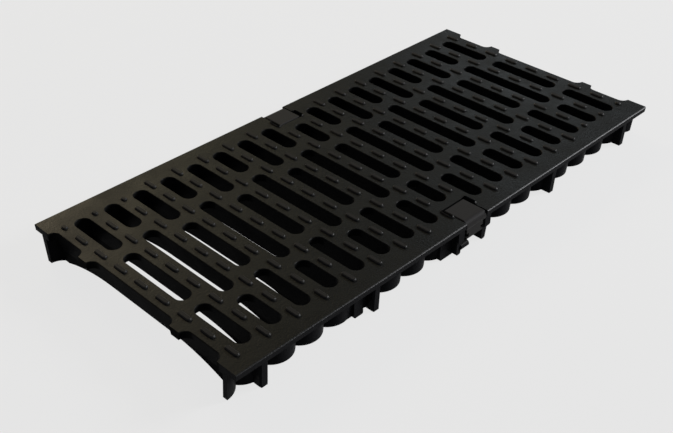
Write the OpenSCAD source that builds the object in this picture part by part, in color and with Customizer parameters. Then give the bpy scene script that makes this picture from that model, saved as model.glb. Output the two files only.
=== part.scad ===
// Slotted trench drain grate: one half-metre casting with deep tapered bars,
// two boltless toggle locks at mid length and the pins that they turn on.
// X runs along the channel, Y across it and Z up. The origin lies under the
// middle of the grate, at the level of the lugs' feet.

/* [Grate] */
// Length along the channel
grate_length = 499; // [400:1:700]
// Joint left between this grate and the next one, so that their slots keep step
joint_gap = 1; // [0.5:0.5:3]
// Width across the channel, over the two long edges
grate_width = 239.5; // [225:0.5:300]
// Height from the feet of the lugs to the walking face
grate_height = 31; // [30:0.5:45]
// Thickness of the flange that rests on the channel's edge rails
flange_thick = 5.5; // [4:0.5:6.5]
// Chamfer along the top of the two long edges
edge_chamfer = 0.8; // [0.3:0.1:1.5]
// How far a long edge draws in from its top to its underside
edge_draft = 0.6; // [0:0.1:1.5]

/* [Slots] */
// Number of slot pitches along the grate, so that the locks' column is an odd one
slot_pitches = 18; // [14:4:22]
// Width of a slot at the walking face
slot_w = 13.9; // [10:0.1:15]
// Chamfer round the top of each slot
slot_chamfer = 0.5; // [0.2:0.1:1]
// Band of plate between the outer slots and the long edge
edge_band = 19.3; // [17:0.1:24]
// Length of the middle slot in the odd columns
short_middle = 73; // [60:0.2:80]
// Length of the middle slot in the even columns
long_middle = 99.8; // [90:0.1:105]
// Width of the bridge between two slots of one column
bridge_w = 10.1; // [8:0.1:14]
// Thickness of a bridge
bridge_thick = 7.5; // [7:0.5:11]

/* [Bars] */
// Depth of a bar below the walking face at mid width
bar_depth = 19.8; // [14:0.1:22]
// Width of a bar at its foot
bar_foot_w = 7.2; // [5:0.2:9]
// Width of the level stretch in the middle of the arched underside
arch_level = 70; // [40:1:90]
// Radius of the arch on each side of the level stretch
arch_radius = 175; // [150:1:260]

/* [Side walls] */
// Depth of the scalloped side walls below the walking face
wall_depth = 30; // [24:0.5:30.5]
// Thickness of a side wall
wall_thick = 4.5; // [3:0.25:6]
// Distance from the long edge to the front of the scallops, below the flange
wall_inset = 9.5; // [7:0.5:12]
// Radius of a scallop below the flange
scallop_r = 19.5; // [18:0.5:22]
// How much smaller a scallop's radius is at its foot
scallop_draft = 2; // [0:0.25:3]

/* [Lugs] */
// Slot pitches from mid length to the inner pair of lugs
lug_inner = 4; // [3:1:5]
// Slot pitches from mid length to the outer pair of lugs
lug_outer = 8; // [6:1:8]
// Distance from the long edge to the face of a lug at its foot
lug_inset = 4.5; // [3:0.25:6]
// How far the face of a lug leans out from its foot to the flange
lug_lean = 1.6; // [0:0.1:2]
// Width of a lug below the flange
lug_top_w = 8.4; // [6:0.2:10]
// Width of a lug at its foot
lug_foot_w = 7.6; // [5:0.2:9]
// Chamfer round a lug's foot
lug_chamfer = 1; // [0.3:0.1:1.5]
// Chamfer down the two outer edges of a lug
lug_edge = 1.6; // [0.5:0.1:2]

/* [Feet] */
// Slot pitches from mid length to the foot beside a lug
foot_outer = 4.5; // [3.5:1:5.5]
// Slot pitches from mid length to the foot beside a lock
foot_inner = 1; // [1:1:1]
// Width of a foot along the side wall
foot_w = 9.6; // [6:0.2:12]
// Distance from the long edge to the face of a foot
foot_inset = 9.3; // [8:0.1:12]
// How far the flat stretch of wall beside a foot lies behind the front of the scallops
flat_setback = 0.4; // [0.2:0.1:2]

/* [Tread] */
// Length of a tread pad
pad_len = 14; // [8:0.5:18]
// Width of a tread pad at its foot
pad_w = 4.8; // [3:0.2:6]
// Height of a tread pad above the walking face
pad_h = 1.5; // [0.8:0.1:2.5]
// How far each side of a pad draws in from its foot to that chamfer
pad_draft = 0.4; // [0.2:0.1:1]
// Chamfer round the top of a pad
pad_crown = 0.6; // [0.2:0.1:1]
// Spacing of the pads along a bar
pad_pitch = 25; // [20:0.5:40]
// Length of the short pads at two corners of the grate
short_pad_len = 6; // [5:0.5:10]
// Number of short pads in each of the two corners
short_pads = 3; // [0:1:5]

/* [Locks] */
// Width of a toggle
toggle_w = 24; // [18:0.5:25]
// Length of a toggle across the grate, from its tail to the long edge
toggle_len = 24.5; // [22:0.5:27]
// Thickness of a toggle's tail
toggle_thick = 5.8; // [4:0.2:6]
// Height of a shut toggle above the walking face
toggle_rise = 0.3; // [0:0.1:1.5]
// Distance from the long edge to the front of a toggle
toggle_inset = 0.45; // [0.2:0.05:1.5]
// Radius over which a toggle turns down at the long edge
toggle_nose_r = 5; // [3:0.25:5.5]
// Distance from the long edge to the axis of a toggle's pin
axis_inset = 8.75; // [8.5:0.25:11]
// Depth of the pin's axis below the walking face, so that the pin passes under the flange
axis_depth = 8.1; // [8:0.1:9]
// Radius of the hub round the pin
hub_r = 5; // [4:0.25:6]
// Width of the bolt that hangs down at the long edge
bolt_w = 20; // [14:0.5:22]
// Thickness of the bolt
bolt_thick = 5; // [3.5:0.25:6]
// Distance from the long edge to the face of the bolt
bolt_inset = 1.8; // [1:0.1:3]
// Depth below the walking face that the bolt reaches down
bolt_reach = 18.2; // [13:0.2:19]
// Depth of the waist on each side of the bolt
waist_depth = 2.6; // [0:0.1:4]
// Height of the waist
waist_h = 3.4; // [2:0.2:5]
// Height of the bolt's head below its waist
bolt_head = 2.6; // [1.5:0.1:4]
// Diameter of a toggle's pin
pin_d = 5; // [4:0.25:6]
// Radial running clearance of a toggle on its pin
pin_clear = 0.05; // [0.02:0.01:0.1]
// Side clearance of a toggle's hub between the ears
hub_clear = 0.3; // [0.2:0.05:0.6]
// Gap between a toggle's side and the wall of its pocket
pocket_gap = 1.1; // [0.8:0.1:3]
// Gap between a toggle's tail and the inner wall of its pocket
tail_gap = 1.5; // [0.8:0.1:3]
// Extra width of the pocket on each side of the tail, for a prying tool
pry_w = 2.3; // [1:0.1:3]
// Length of the prying gaps
pry_len = 12; // [8:0.5:13]
// Depth of the prying gaps below the walking face
pry_depth = 9; // [7:0.5:12]
// How far the side wall steps back behind a toggle
lock_setback = 17; // [16:0.25:19]
// How far the outer slot steps back behind a toggle
slot_setback = 14.5; // [14:0.25:19]
// Thickness of the ears beside a toggle, at their foot
ear_w = 5; // [4:0.25:6]
// How much thicker an ear is below the flange
ear_draft = 1.5; // [0:0.25:2]
// Width of the boss that holds the pin's end at the top of an ear
boss_w = 7; // [6:0.25:9]
// Distance from the long edge to the face of a boss
boss_inset = 1.6; // [1:0.1:3]
// Depth below the walking face that a boss reaches down
boss_reach = 17; // [14:0.5:19]
// Radius of the round stop inside one ear, below the bolt
stop_r = 2.8; // [2:0.1:3.5]
// Length of the stop from the ear
stop_len = 8; // [4:0.5:11]
// Height of the stop's axis above the level of the feet
stop_high = 7; // [5:0.5:9]
// Distance from the long edge to the stop's axis
stop_inset = 5.2; // [4:0.1:8]
// Clearance between a toggle's tail and the ledge under it
ledge_clear = 0.3; // [0.2:0.05:0.6]
// Width of the ledge under a toggle's tail
ledge_w = 18; // [10:0.5:22]
// Length of the ledge that a toggle's tail covers
ledge_len = 2.5; // [1.5:0.25:4]
// Depth of the ledge
ledge_h = 6; // [4:0.5:8]

/* [Hidden] */
$fn = 64;

iron = [0.16, 0.155, 0.15];
toggle_grey = [0.42, 0.41, 0.40];
pin_steel = [0.70, 0.71, 0.72];

// Chamfer at the ends of a pin
pin_chamfer = 0.5;
// Chamfer along the sides and the tail of a toggle's top
toggle_chamfer = 0.6;
// Step from a toggle's hub down to the bosses that centre it between the ears
hub_step = 1;
// A cutter runs this far past the face that it opens
past = 1;
// A part that grows out of another one starts this deep inside it
root = 1;

half_w = grate_width / 2;
top = grate_height;
slot_pitch = (grate_length + joint_gap) / slot_pitches;
slot_r = slot_w / 2;
lock_column = slot_pitches / 2;

// A bar tapers from the chamfer of the slot's edge to its foot
gap_r_throat = slot_r - slot_chamfer;
gap_r_foot = (slot_pitch - bar_foot_w) / 2;
flank_slope = (gap_r_foot - gap_r_throat) / (bar_depth - slot_chamfer);
gap_r_bridge = gap_r_throat + flank_slope * (bridge_thick - slot_chamfer);

scallop_y = half_w - wall_inset - scallop_r;
scallop_foot_r = scallop_r - scallop_draft;
scallop_slope = scallop_draft / (wall_depth - flange_thick);

pad_rows = floor((half_w - pad_len) / pad_pitch);

toggle_high = top + toggle_rise;
axis_y = half_w - axis_inset;
axis_z = top - axis_depth;
nose_y = half_w - toggle_inset - toggle_nose_r;
nose_z = toggle_high - toggle_nose_r;
bolt_low = top - bolt_reach;
tail_y = half_w - toggle_len;
pocket_y = tail_y - tail_gap;
pocket_half = toggle_w / 2 + pocket_gap;
ear_inner = pocket_half;

function column_x(i) = (i - lock_column) * slot_pitch;
function middle_len(i) = i % 2 == 1 ? short_middle : long_middle;
function at_lock(i, step) = i == lock_column ? step : 0;

// Half of a slot's section: a chamfer at the face, then the flank of the bar
function slot_half(low) = [
    [0, top + past],
    [slot_r + past, top + past],
    [gap_r_throat, top - slot_chamfer],
    [gap_r_bridge, top - bridge_thick],
    [gap_r_bridge, low],
    [0, low]
];

// The same outline on both sides of the middle
function both_sides(half) = concat(half, [for (i = [len(half) - 1:-1:0]) [-half[i][0], half[i][1]]]);

// Copy for the front and for the back long edge
module both_edges() {
    children();
    rotate([0, 0, 180]) children();
}

// Prism along Y from an outline in X and Z
module along_y(length) {
    rotate([90, 0, 0]) linear_extrude(height = length, center = true) children();
}

// Prism along X from an outline in Y and Z
module along_x(length) {
    rotate([90, 0, 90]) linear_extrude(height = length, center = true) children();
}

// Deck: the plate that the slots are cut in, with its chamfered long edges
module deck() {
    along_x(grate_length) polygon([
        [-half_w + edge_chamfer, top],
        [half_w - edge_chamfer, top],
        [half_w, top - edge_chamfer],
        [half_w - edge_draft, top - flange_thick],
        [-half_w + edge_draft, top - flange_thick],
        [-half_w, top - edge_chamfer]
    ]);
}

// Block that the bars are cut from
module bar_block() {
    translate([-grate_length / 2, -scallop_y, top - wall_depth])
        cube([grate_length, 2 * scallop_y, wall_depth - root]);
}

// One scallop of a side wall, drafted towards its foot, as a solid half column
module scallop(i) {
    translate([column_x(i), scallop_y - at_lock(i, lock_setback), top - wall_depth])
        cylinder(
            h = wall_depth - flange_thick + root,
            r1 = scallop_foot_r,
            r2 = scallop_r + scallop_slope * root
        );
}

// The scalloped wall under one long edge, cut off square at the grate's ends
module side_wall() {
    intersection() {
        union() {
            for (i = [0:slot_pitches]) scallop(i);
        }
        translate([-grate_length / 2, 0, 0]) cube([grate_length, half_w, top]);
    }
}

// Slot with round ends, centred on the origin of its column
module slot(length) {
    straight = length - slot_w;
    low = top - bridge_thick - past;
    for (side = [-1, 1])
        translate([0, side * straight / 2, 0]) rotate_extrude() polygon(slot_half(low));
    along_y(straight) polygon(both_sides(slot_half(low)));
}

// The middle slot and the two outer slots of a column
module column_slots(i) {
    inner = middle_len(i) / 2 + bridge_w;
    outer = half_w - edge_band - at_lock(i, slot_setback);
    slot(middle_len(i));
    for (side = [-1, 1])
        translate([0, side * (inner + outer) / 2, 0]) slot(outer - inner);
}

// The hollow under a column's bridges, between two tapered bars and the side walls
module column_hollow(i) {
    mid = scallop_y - at_lock(i, lock_setback);
    foot = top - grate_height - past;
    intersection() {
        along_y(grate_width) polygon(both_sides([
            [0, top - bridge_thick],
            [gap_r_bridge, top - bridge_thick],
            [gap_r_foot, top - bar_depth],
            [gap_r_foot, foot],
            [0, foot]
        ]));
        union() {
            translate([-slot_pitch / 2, -mid, foot]) cube([slot_pitch, 2 * mid, top - foot]);
            both_edges() translate([0, mid, 0]) scallop_hollow();
        }
    }
}

// Round end of a hollow, one wall thickness inside its scallop
module scallop_hollow() {
    r_foot = scallop_foot_r - wall_thick;
    translate([0, 0, top - grate_height - past])
        cylinder(
            h = grate_height + past - flange_thick,
            r1 = r_foot - scallop_slope * (grate_height + past - wall_depth),
            r2 = r_foot + scallop_draft
        );
}

// Space below the arched feet of the bars
module arch() {
    along_x(grate_length + 2 * past) {
        for (side = [-1, 1])
            translate([side * arch_level / 2, top - bar_depth - arch_radius])
                circle(r = arch_radius, $fn = 128);
        translate([-arch_level / 2, top - bar_depth - arch_radius])
            square([arch_level, arch_radius]);
    }
}

// Outline of a tapered lug with a chamfered foot, in X and Z
module lug_outline(top_w, foot_w) {
    polygon(both_sides([
        [0, top - flange_thick + root],
        [top_w / 2, top - flange_thick + root],
        [foot_w / 2, lug_chamfer],
        [foot_w / 2 - lug_chamfer, 0],
        [0, 0]
    ]));
}

// Everything inside the leaning face that the lugs and the ears share, from a start in Y
module within_lug_face(start) {
    foot_y = half_w - lug_inset;
    high = top - flange_thick + root;
    along_x(grate_length) polygon([[start, 0], [foot_y, 0], [foot_y + lug_lean, high], [start, high]]);
}

// One lug: tapered in width, with a leaning face that is chamfered down both sides
module lug() {
    length = half_w - lug_inset - scallop_y;
    wide = lug_top_w / 2 + past;
    half = [[0, -length], [wide, -length], [wide, -lug_edge - past], [wide - lug_edge - past, 0], [0, 0]];
    intersection() {
        translate([0, half_w / 2, 0]) along_y(half_w) lug_outline(lug_top_w, lug_foot_w);
        translate([0, half_w - lug_inset, 0]) rotate([-atan(lug_lean / top), 0, 0])
            translate([0, 0, -past]) linear_extrude(height = top + 2 * past) polygon(both_sides(half));
    }
}

// Lugs that sit in the recesses of the edge rails and keep the grate from creeping
module lugs() {
    for (side = [-1, 1], pitches = [lug_inner, lug_outer])
        translate([side * pitches * slot_pitch, 0, 0]) lug();
}

// One foot of a side wall, from one place along the wall to another
module foot(near, far) {
    length = half_w - foot_inset - scallop_y;
    translate([(near + far) / 2, scallop_y + length / 2, 0])
        along_y(length) lug_outline(far - near, far - near);
}

// Feet as deep as the lugs: one beside a lug, joined to the next scallop by a flat
// stretch of wall, and one that ends against the lock's ear
module feet() {
    outer = foot_outer * slot_pitch;
    flat = slot_pitch / 2;
    foot(outer - foot_w / 2, outer + foot_w / 2);
    foot(ear_inner + ear_w / 2, foot_inner * slot_pitch + foot_w / 2);
    translate([outer + flat / 2, 0, 0]) along_x(flat) polygon([
        [scallop_y, top - wall_depth],
        [scallop_y + scallop_foot_r - flat_setback, top - wall_depth],
        [scallop_y + scallop_r - flat_setback, top - flange_thick + root],
        [scallop_y, top - flange_thick + root]
    ]);
}

// Ears on both sides of a toggle, with a boss on each for the end of the toggle's pin
module ears() {
    inner_y = pocket_y + pry_len;
    boss_y = half_w - boss_inset;
    for (side = [0, 1]) mirror([side, 0, 0]) {
        intersection() {
            translate([0, half_w / 2, 0]) along_y(half_w) polygon([
                [ear_inner, top - flange_thick + root],
                [ear_inner + ear_w + ear_draft, top - flange_thick + root],
                [ear_inner + ear_w, lug_chamfer],
                [ear_inner + ear_w - lug_chamfer, 0],
                [ear_inner + lug_chamfer, 0],
                [ear_inner, lug_chamfer]
            ]);
            within_lug_face(inner_y);
        }
        translate([0, (inner_y + boss_y) / 2, 0]) along_y(boss_y - inner_y) polygon([
            [ear_inner, top - flange_thick + root],
            [ear_inner + boss_w, top - flange_thick + root],
            [ear_inner + boss_w, top - boss_reach + lug_chamfer],
            [ear_inner + boss_w - lug_chamfer, top - boss_reach],
            [ear_inner, top - boss_reach]
        ]);
    }
}

// Round stop that stands out from the inner face of one ear, below the bolt's swing
module stop() {
    translate([ear_inner - stop_len, half_w - stop_inset, stop_high]) rotate([0, 90, 0])
        cylinder(h = stop_len + root, r = stop_r);
}

// Ledge that carries a toggle's tail when it is shut
module tail_ledge() {
    high = toggle_high - toggle_thick - ledge_clear;
    translate([-ledge_w / 2, pocket_y - wall_thick, high - ledge_h])
        cube([ledge_w, wall_thick + tail_gap + ledge_len, ledge_h]);
}

// Pocket for a toggle through the deck, wider beside the tail
module pocket() {
    translate([-pocket_half, pocket_y, top - flange_thick - past])
        cube([2 * pocket_half, half_w - pocket_y + past, flange_thick + pad_h + 2 * past]);
    translate([-pocket_half - pry_w, pocket_y, top - pry_depth])
        cube([2 * (pocket_half + pry_w), pry_len, pry_depth + pad_h + past]);
}

// Well under the pocket, where a toggle's bolt swings between the ears
module well() {
    translate([-pocket_half, pocket_y + past, -past])
        cube([2 * pocket_half, half_w - pocket_y, top - flange_thick + past]);
}

// Tread pad with drafted sides and round ends
module pad(length) {
    r = pad_w / 2;
    straight = length - pad_w;
    half = [
        [0, top + pad_h],
        [r - pad_draft - pad_crown, top + pad_h],
        [r - pad_draft, top + pad_h - pad_crown],
        [r, top],
        [r, top - root],
        [0, top - root]
    ];
    for (side = [-1, 1]) translate([0, side * straight / 2, 0]) rotate_extrude($fn = 24) polygon(half);
    along_y(straight) polygon(both_sides(half));
}

// Rows of tread pads on the bars, with short ones at two opposite corners
module tread() {
    for (i = [0:slot_pitches - 1], row = [-pad_rows:pad_rows]) {
        last = slot_pitches - short_pads;
        corner = (row == pad_rows && i < short_pads) || (row == -pad_rows && i >= last);
        shift = corner ? sign(row) * (short_pad_len - pad_len) / 4 : 0;
        translate([column_x(i + 0.5), row * pad_pitch + shift, 0]) pad(corner ? short_pad_len : pad_len);
    }
}

// Grate casting: deck, bars, bridges, scalloped walls, lugs and the locks' ears in one
module grate_casting() {
    color(iron) union() {
        difference() {
            union() {
                deck();
                bar_block();
                both_edges() {
                    side_wall();
                    lugs();
                    feet();
                    ears();
                }
                tread();
            }
            for (i = [0:slot_pitches]) translate([column_x(i), 0, 0]) {
                column_slots(i);
                column_hollow(i);
            }
            arch();
            both_edges() {
                pocket();
                well();
                translate([0, axis_y, axis_z]) along_x_bore(pin_d / 2);
            }
        }
        both_edges() {
            tail_ledge();
            stop();
        }
    }
}

// Bore along the axis of a toggle, through both ears
module along_x_bore(r) {
    length = 2 * (ear_inner + boss_w + past);
    rotate([0, 90, 0]) cylinder(h = length, r = r, center = true);
}

// Side outline of a toggle's top in Y and Z: its tail and its round nose
module toggle_outline() {
    translate([tail_y, toggle_high - toggle_thick]) square([nose_y - tail_y, toggle_thick]);
    translate([nose_y, nose_z]) circle(r = toggle_nose_r);
}

// Side outline of the hub round the pin and of the bolt that hangs from it
module bolt_outline() {
    face = half_w - bolt_inset;
    back = face - bolt_thick;
    translate([axis_y, axis_z]) circle(r = hub_r);
    polygon([
        [back, nose_z],
        [face, nose_z],
        [face, bolt_low + lug_chamfer],
        [face - lug_chamfer, bolt_low],
        [back + lug_chamfer, bolt_low],
        [back, bolt_low + lug_chamfer]
    ]);
}

// Toggle: a cast lever with its hub between the ears and a waisted bolt under the rail
module toggle() {
    ridge = toggle_chamfer * sqrt(2);
    bolt_back = half_w - bolt_inset - bolt_thick;
    difference() {
        union() {
            along_x(toggle_w) toggle_outline();
            along_x(bolt_w) bolt_outline();
            translate([0, axis_y, axis_z]) rotate([0, 90, 0])
                cylinder(h = 2 * (pocket_half - hub_clear), r = hub_r - hub_step, center = true);
        }
        translate([0, axis_y, axis_z]) along_x_bore(pin_d / 2 + pin_clear);
        for (side = [0, 1]) mirror([side, 0, 0])
            translate([bolt_w / 2 - waist_depth, bolt_back - past, bolt_low + bolt_head])
                cube([waist_depth + past, bolt_thick + 2 * past, waist_h]);
        for (side = [-1, 1]) translate([side * toggle_w / 2, tail_y, toggle_high]) rotate([0, 45, 0])
            cube([ridge, 2 * toggle_len, ridge], center = true);
        translate([0, tail_y, toggle_high]) rotate([45, 0, 0])
            cube([2 * toggle_w, ridge, ridge], center = true);
    }
}

module toggle_front() {
    color(toggle_grey) rotate([0, 0, 180]) toggle();
}

module toggle_back() {
    color(toggle_grey) toggle();
}

// Pin pressed into both bosses, flush with their outer faces and chamfered at its ends
module toggle_pin() {
    length = 2 * (ear_inner + boss_w);
    translate([0, axis_y, axis_z]) rotate([0, 90, 0]) {
        cylinder(h = length - 2 * pin_chamfer, r = pin_d / 2, center = true);
        for (side = [0, 1]) mirror([0, 0, side]) translate([0, 0, length / 2 - pin_chamfer])
            cylinder(h = pin_chamfer, r1 = pin_d / 2, r2 = pin_d / 2 - pin_chamfer);
    }
}

module toggle_pin_front() {
    color(pin_steel) rotate([0, 0, 180]) toggle_pin();
}

module toggle_pin_back() {
    color(pin_steel) toggle_pin();
}

grate_casting();
toggle_front();
toggle_back();
toggle_pin_front();
toggle_pin_back();
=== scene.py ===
import math

import bpy
from mathutils import Matrix, Vector


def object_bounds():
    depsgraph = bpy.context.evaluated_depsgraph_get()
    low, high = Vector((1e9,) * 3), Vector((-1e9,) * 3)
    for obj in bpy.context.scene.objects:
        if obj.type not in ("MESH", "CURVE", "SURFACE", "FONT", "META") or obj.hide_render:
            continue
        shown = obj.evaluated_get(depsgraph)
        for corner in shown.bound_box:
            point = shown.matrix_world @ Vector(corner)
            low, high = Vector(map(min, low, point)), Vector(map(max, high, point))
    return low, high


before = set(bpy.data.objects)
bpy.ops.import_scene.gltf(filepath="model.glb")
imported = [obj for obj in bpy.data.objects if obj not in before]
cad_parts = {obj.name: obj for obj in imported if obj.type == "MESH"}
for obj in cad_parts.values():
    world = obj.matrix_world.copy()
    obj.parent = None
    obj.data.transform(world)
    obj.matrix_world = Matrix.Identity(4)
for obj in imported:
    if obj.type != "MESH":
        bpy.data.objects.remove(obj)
cad_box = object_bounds()

# The grate itself: one ductile iron casting from a sand mould, dipped in black coating. The coat
# is thin, so the sand's grain shows through it, and it lies in patches on the open face. It is
# rubbed shinier along the two long edges. Its pads are painted paler, as painted light that lifts
# the shade on their sides, and its upright sides between the bars are duller and painted darker, as
# painted shade.


def linear(hex_colour):
    """sRGB hex to linear red, green, blue and alpha."""
    parts = [int(hex_colour[i:i + 2], 16) / 255 for i in (1, 3, 5)]
    return [p / 12.92 if p <= 0.04045 else ((p + 0.055) / 1.055) ** 2.4 for p in parts] + [1.0]


def grey(level):
    """The colour that carries one plain number through a colour ramp."""
    return (level, level, level, 1)


def new_material(name):
    """A material that has no nodes yet."""
    material = bpy.data.materials.new(name)
    material.use_nodes = True
    material.node_tree.nodes.clear()
    return material


def add_node(material, kind, settings=None, inputs=None, links=None):
    """Adds a node, sets its properties and sockets, and links sockets to (node, output) pairs."""
    node = material.node_tree.nodes.new(kind)
    for name, value in (settings or {}).items():
        setattr(node, name, value)
    for name, value in (inputs or {}).items():
        node.inputs[name].default_value = value
    for name, (source, output) in (links or {}).items():
        material.node_tree.links.new(source.outputs[output], node.inputs[name])
    return node


def dress(piece, material):
    """Gives a piece this material and no other."""
    piece.data.materials.clear()
    piece.data.materials.append(material)


# Sockets by number, where a node has several of the same name
FIRST, SECOND = 0, 1
MIX_SHARE = 0
NUMBER_A, NUMBER_B = 2, 3
COLOUR_A, COLOUR_B = 6, 7
MIXED_NUMBER, MIXED_COLOUR = 0, 2

MM = 0.001
half_width = cad_box[1][1]
pad_top = cad_box[1][2]

# The open face, in patches where the coat ran together and where it drained off
COAT_DARK = "#0f0f0d"
COAT_PALE = "#1c1c19"
COAT_PATCH = 35 * MM
PATCH_LOW, PATCH_HIGH = 0.3, 0.7
COAT_GLOSSY, COAT_DULL = 0.37, 0.52
FACE_SHINE = 0.08

# The upright sides, between the bars and outside the scalloped walls. Those between the bars are
# painted darker: painted shade in the recesses.
COAT_IN_PAINTED_SHADE = "#151515"
COAT_OUTSIDE = "#1e1e1f"
INSIDE_SHINE = 0.0015
OUTSIDE_SHINE = 0.007
WALL_SETBACK = 15.75 * MM
WALL_BLEND = 3 * MM

# The chamfer of the long edges, which traffic rubs bright
EDGE_SHINE = 0.17
EDGE_ROUGHNESS = 0.40
EDGE_WIDTH = 0.35 * MM
RUB_BLEND = 0.3 * MM

# The pads, which stand proud of the face and are painted paler: painted light that lifts the shade
# on their sides
PAD_PAINTED_LIGHT = "#2b2a28"
PAD_SHINE = 0.02
PAD_HEIGHT = 1.5 * MM

# How far a surface faces up: 0 on an upright one and 1 on a level one
STEEP = 0.3
CHAMFER_STEEP, CHAMFER_LEVEL = 0.60, 0.85
NEARLY_LEVEL = 0.9
LEVEL = 0.98

# Moulding sand has grains of about 0.3 mm, too fine for the render, so they are drawn coarser
SAND_GRAIN = 1.5 * MM
SAND_RELIEF = 0.20 * MM
MOULD_WAVE = 9 * MM
MOULD_RELIEF = 0.12 * MM

coated_iron = new_material("black dipped cast iron")
iron_place = add_node(coated_iron, "ShaderNodeTexCoord")
facing = add_node(coated_iron, "ShaderNodeSeparateXYZ", links={"Vector": (iron_place, "Normal")})
whereabouts = add_node(
    coated_iron, "ShaderNodeSeparateXYZ", links={"Vector": (iron_place, "Object")}
)
from_middle = add_node(
    coated_iron, "ShaderNodeMath", {"operation": "ABSOLUTE"}, links={FIRST: (whereabouts, "Y")}
)

# Where the open face, the long edges, the pads and the outside of the walls are
open_face = add_node(
    coated_iron, "ShaderNodeMapRange",
    inputs={"From Min": STEEP, "From Max": NEARLY_LEVEL},
    links={"Value": (facing, "Z")},
)
long_edge = add_node(
    coated_iron, "ShaderNodeMapRange",
    inputs={
        "From Min": half_width - EDGE_WIDTH - RUB_BLEND,
        "From Max": half_width - EDGE_WIDTH,
    },
    links={"Value": (from_middle, "Value")},
)
proud_pad = add_node(
    coated_iron, "ShaderNodeMapRange",
    inputs={"From Min": pad_top - PAD_HEIGHT, "From Max": pad_top - PAD_HEIGHT + RUB_BLEND},
    links={"Value": (whereabouts, "Z")},
)
rubbed = add_node(
    coated_iron, "ShaderNodeMath", {"operation": "MAXIMUM"},
    links={FIRST: (long_edge, "Result"), SECOND: (proud_pad, "Result")},
)
# Where the painted shade between the bars gives way to the colour of the outside walls
outer_wall = add_node(
    coated_iron, "ShaderNodeMapRange",
    inputs={
        "From Min": half_width - WALL_SETBACK - WALL_BLEND,
        "From Max": half_width - WALL_SETBACK,
    },
    links={"Value": (from_middle, "Value")},
)

# The coat's colour
coat_patches = add_node(
    coated_iron, "ShaderNodeTexNoise",
    inputs={"Scale": 1 / COAT_PATCH, "Detail": 4.0, "Roughness": 0.6},
    links={"Vector": (iron_place, "Object")},
)
coat_colour = add_node(
    coated_iron, "ShaderNodeMix", {"data_type": "RGBA"},
    inputs={COLOUR_A: linear(COAT_DARK), COLOUR_B: linear(COAT_PALE)},
    links={MIX_SHARE: (coat_patches, "Fac")},
)
# Painted shade: the sides between the bars are coloured darker than those outside the walls
side_colour_painted_shade = add_node(
    coated_iron, "ShaderNodeMix", {"data_type": "RGBA"},
    inputs={COLOUR_A: linear(COAT_IN_PAINTED_SHADE), COLOUR_B: linear(COAT_OUTSIDE)},
    links={MIX_SHARE: (outer_wall, "Result")},
)
iron_colour = add_node(
    coated_iron, "ShaderNodeMix", {"data_type": "RGBA"},
    links={
        MIX_SHARE: (open_face, "Result"),
        COLOUR_A: (side_colour_painted_shade, MIXED_COLOUR),
        COLOUR_B: (coat_colour, MIXED_COLOUR),
    },
)
# Painted light: the pads are coloured paler, to lift the shade on their sides
colour_with_painted_light_and_shade = add_node(
    coated_iron, "ShaderNodeMix", {"data_type": "RGBA"},
    inputs={COLOUR_B: linear(PAD_PAINTED_LIGHT)},
    links={MIX_SHARE: (proud_pad, "Result"), COLOUR_A: (iron_colour, MIXED_COLOUR)},
)

# The coat's shine, strongest on the chamfers and weak on the sides
edge_shine = add_node(coated_iron, "ShaderNodeValToRGB", links={"Fac": (facing, "Z")})
shine_stops = edge_shine.color_ramp.elements
shine_stops[0].position = STEEP
shine_stops[0].color = grey(OUTSIDE_SHINE)
shine_stops[1].position = LEVEL
shine_stops[1].color = grey(PAD_SHINE)
for tilt in (CHAMFER_STEEP, CHAMFER_LEVEL):
    shine_stops.new(tilt).color = grey(EDGE_SHINE)
wall_shine = add_node(
    coated_iron, "ShaderNodeMapRange",
    inputs={"To Min": INSIDE_SHINE, "To Max": OUTSIDE_SHINE},
    links={"Value": (outer_wall, "Result")},
)
plain_shine = add_node(
    coated_iron, "ShaderNodeMapRange",
    inputs={"From Min": STEEP, "From Max": LEVEL, "To Max": FACE_SHINE},
    links={"Value": (facing, "Z"), "To Min": (wall_shine, "Result")},
)
coat_shine = add_node(
    coated_iron, "ShaderNodeMix", {"data_type": "FLOAT"},
    links={
        MIX_SHARE: (rubbed, "Value"),
        NUMBER_A: (plain_shine, "Result"),
        NUMBER_B: (edge_shine, "Color"),
    },
)

# The grain of the sand, on the slow waves of the mould's face
sand = add_node(
    coated_iron, "ShaderNodeTexNoise",
    inputs={"Scale": 1 / SAND_GRAIN, "Detail": 3.0, "Roughness": 0.55},
    links={"Vector": (iron_place, "Object")},
)
wave = add_node(
    coated_iron, "ShaderNodeTexNoise",
    inputs={"Scale": 1 / MOULD_WAVE, "Detail": 2.0},
    links={"Vector": (iron_place, "Object")},
)
wave_bump = add_node(
    coated_iron, "ShaderNodeBump",
    inputs={"Strength": 1.0, "Distance": MOULD_RELIEF},
    links={"Height": (wave, "Fac")},
)
sand_bump = add_node(
    coated_iron, "ShaderNodeBump",
    inputs={"Strength": 1.0, "Distance": SAND_RELIEF},
    links={"Height": (sand, "Fac"), "Normal": (wave_bump, "Normal")},
)
coat_gloss = add_node(
    coated_iron, "ShaderNodeMapRange",
    inputs={
        "From Min": PATCH_LOW, "From Max": PATCH_HIGH,
        "To Min": COAT_GLOSSY, "To Max": COAT_DULL,
    },
    links={"Value": (coat_patches, "Fac")},
)
coat_roughness = add_node(
    coated_iron, "ShaderNodeMix", {"data_type": "FLOAT"},
    inputs={NUMBER_B: EDGE_ROUGHNESS},
    links={MIX_SHARE: (long_edge, "Result"), NUMBER_A: (coat_gloss, "Result")},
)

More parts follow.
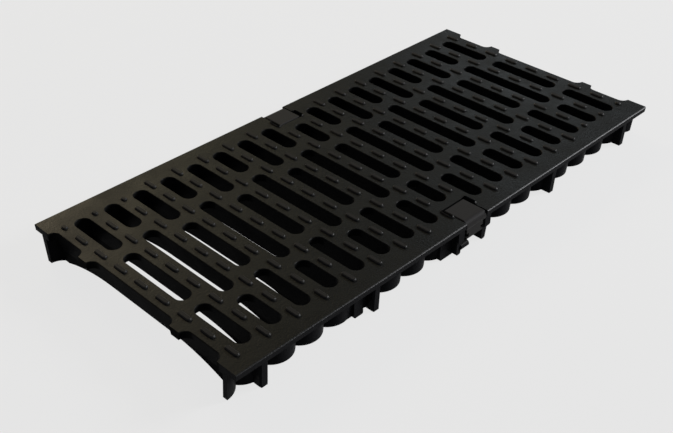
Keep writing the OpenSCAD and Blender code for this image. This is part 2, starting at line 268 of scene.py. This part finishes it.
coat_shader = add_node(
    coated_iron, "ShaderNodeBsdfPrincipled",
    inputs={"Metallic": 0.0, "IOR": 1.5},
    links={
        "Base Color": (colour_with_painted_light_and_shade, MIXED_COLOUR),
        "Specular IOR Level": (coat_shine, MIXED_NUMBER),
        "Roughness": (coat_roughness, MIXED_NUMBER),
        "Normal": (sand_bump, "Normal"),
    },
)
add_node(coated_iron, "ShaderNodeOutputMaterial", links={"Surface": (coat_shader, "BSDF")})

dress(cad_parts["grate_casting"], coated_iron)

# The toggles: small castings that are tumbled smooth and left without the black coat.
# Shoe soles and handling keep them a lighter, slightly warm grey.

TOGGLE_GREY = "#2c2b2a"
TOGGLE_ROUGHNESS = 0.55
TOGGLE_SHINE = 0.05
TOGGLE_GRAIN = 1.2 * MM
TOGGLE_RELIEF = 0.05 * MM

toggle_iron = new_material("tumbled cast iron")
toggle_place = add_node(toggle_iron, "ShaderNodeTexCoord")
toggle_grain = add_node(
    toggle_iron, "ShaderNodeTexNoise",
    inputs={"Scale": 1 / TOGGLE_GRAIN, "Detail": 3.0},
    links={"Vector": (toggle_place, "Object")},
)
toggle_bump = add_node(
    toggle_iron, "ShaderNodeBump",
    inputs={"Strength": 1.0, "Distance": TOGGLE_RELIEF},
    links={"Height": (toggle_grain, "Fac")},
)
toggle_shader = add_node(
    toggle_iron, "ShaderNodeBsdfPrincipled",
    inputs={
        "Base Color": linear(TOGGLE_GREY), "Metallic": 0.0,
        "Roughness": TOGGLE_ROUGHNESS, "Specular IOR Level": TOGGLE_SHINE,
    },
    links={"Normal": (toggle_bump, "Normal")},
)
add_node(toggle_iron, "ShaderNodeOutputMaterial", links={"Surface": (toggle_shader, "BSDF")})

for name in ("toggle_front", "toggle_back"):
    dress(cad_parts[name], toggle_iron)

# The toggles' pins: stainless steel rod, turned to a smooth, bright grey, cut to length
# and pressed into the casting's ears.

PIN_GREY = "#b9b8b6"
PIN_ROUGHNESS = 0.3

pin_steel = new_material("turned stainless steel")
pin_shader = add_node(
    pin_steel, "ShaderNodeBsdfPrincipled",
    inputs={"Base Color": linear(PIN_GREY), "Metallic": 1.0, "Roughness": PIN_ROUGHNESS},
)
add_node(pin_steel, "ShaderNodeOutputMaterial", links={"Surface": (pin_shader, "BSDF")})

for name in ("toggle_pin_front", "toggle_pin_back"):
    dress(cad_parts[name], pin_steel)

# The floor: a plain sheet of pale paper that the lugs stand on. The camera sees it as one even
# pale grey, because most of it glows there, and the rest is lit, so that it keeps a shadow.

FLOOR_SIZE = 12.0
FLOOR_LIT = "#8a8a8a"
FLOOR_GLOW = "#fafafa"
GLOW_SHARE = 0.782
SHADER_A, SHADER_B = 1, 2

bpy.ops.mesh.primitive_plane_add(size=FLOOR_SIZE)
floor = bpy.context.object
floor.name = "floor"
floor_paper = new_material("pale paper")
floor_lit = add_node(
    floor_paper, "ShaderNodeBsdfDiffuse", inputs={"Color": linear(FLOOR_LIT)}
)
floor_glow = add_node(
    floor_paper, "ShaderNodeEmission", inputs={"Color": linear(FLOOR_GLOW), "Strength": 1.0}
)
floor_path = add_node(floor_paper, "ShaderNodeLightPath")
floor_seen = add_node(
    floor_paper, "ShaderNodeMath", {"operation": "ADD"},
    links={FIRST: (floor_path, "Is Camera Ray"), SECOND: (floor_path, "Is Glossy Ray")},
)
floor_through = add_node(
    floor_paper, "ShaderNodeMath", {"operation": "ADD", "use_clamp": True},
    links={FIRST: (floor_seen, "Value"), SECOND: (floor_path, "Is Transmission Ray")},
)
floor_share = add_node(
    floor_paper, "ShaderNodeMath", {"operation": "MULTIPLY"},
    inputs={SECOND: GLOW_SHARE},
    links={FIRST: (floor_through, "Value")},
)
floor_mix = add_node(
    floor_paper, "ShaderNodeMixShader",
    links={
        MIX_SHARE: (floor_share, "Value"),
        SHADER_A: (floor_lit, "BSDF"),
        SHADER_B: (floor_glow, "Emission"),
    },
)
add_node(floor_paper, "ShaderNodeOutputMaterial", links={"Surface": (floor_mix, "Shader")})
dress(floor, floor_paper)

# The studio: a dim bluish room and five round lamps. The key lamp stands right of the front edge
# and draws the bright line along it, the top lamp is a weak fill, and the cool, warm and back
# lamps stand low behind the grate, where the face reflects them.

ROOM_COLOUR = "#cbdaff"
ROOM_STRENGTH = 0.10


def add_lamp(name, place, aim, width, watts, colour):
    """Adds a round lamp of this width in metres that faces its aim."""
    data = bpy.data.lights.new(name, "AREA")
    data.shape = "DISK"
    data.size = width
    data.energy = watts
    data.color = linear(colour)[:3]
    lamp = bpy.data.objects.new(name, data)
    bpy.context.collection.objects.link(lamp)
    lamp.location = place
    lamp.rotation_euler = (Vector(aim) - Vector(place)).to_track_quat("-Z", "Y").to_euler()


world = bpy.data.worlds.new("studio")
world.use_nodes = True
background = world.node_tree.nodes["Background"]
background.inputs["Color"].default_value = linear(ROOM_COLOUR)
background.inputs["Strength"].default_value = ROOM_STRENGTH
bpy.context.scene.world = world

add_lamp(
    "key_lamp", place=(1.85, -1.20, 1.12), aim=(0, 0, 0), width=0.76, watts=62, colour="#fbfcff"
)
add_lamp(
    "top_lamp", place=(-0.6, -0.3, 2.2), aim=(0, 0, 0), width=1.2, watts=3, colour="#ffffff"
)
add_lamp(
    "cool_lamp", place=(1.90, 1.10, 0.98), aim=(0, 0, 0), width=0.68, watts=3.6, colour="#f0faff"
)
add_lamp(
    "warm_lamp", place=(0.25, 1.84, 1.20), aim=(-0.2, 0, 0), width=0.80, watts=17.4, colour="#ffeac8"
)
add_lamp(
    "back_lamp", place=(0.95, 1.90, 1.20), aim=(0, 0, 0), width=0.80, watts=5.2, colour="#fff6c8"
)

# The camera: off the grate's left front corner, looking down along it. Its place and lens
# were fitted to the edges of the slots and the face in the photograph.

CAMERA_PLACE = Vector((-0.548, -0.50559, 0.49783))
CAMERA_AIM = Vector((-0.07724, -0.04021, 0.031))
CAMERA_ROLL = math.radians(0.0415)
FOCAL_LENGTH = 55.19
FILM_WIDTH = 36

camera_data = bpy.data.cameras.new("camera")
camera_data.lens = FOCAL_LENGTH
camera_data.sensor_width = FILM_WIDTH
camera = bpy.data.objects.new("camera", camera_data)
bpy.context.collection.objects.link(camera)
turn = (CAMERA_AIM - CAMERA_PLACE).to_track_quat("-Z", "Y").to_matrix().to_4x4()
camera.matrix_world = Matrix.Translation(CAMERA_PLACE) @ turn @ Matrix.Rotation(CAMERA_ROLL, 4, "Z")
bpy.context.scene.camera = camera

bpy.context.scene.view_settings.view_transform = "Standard"
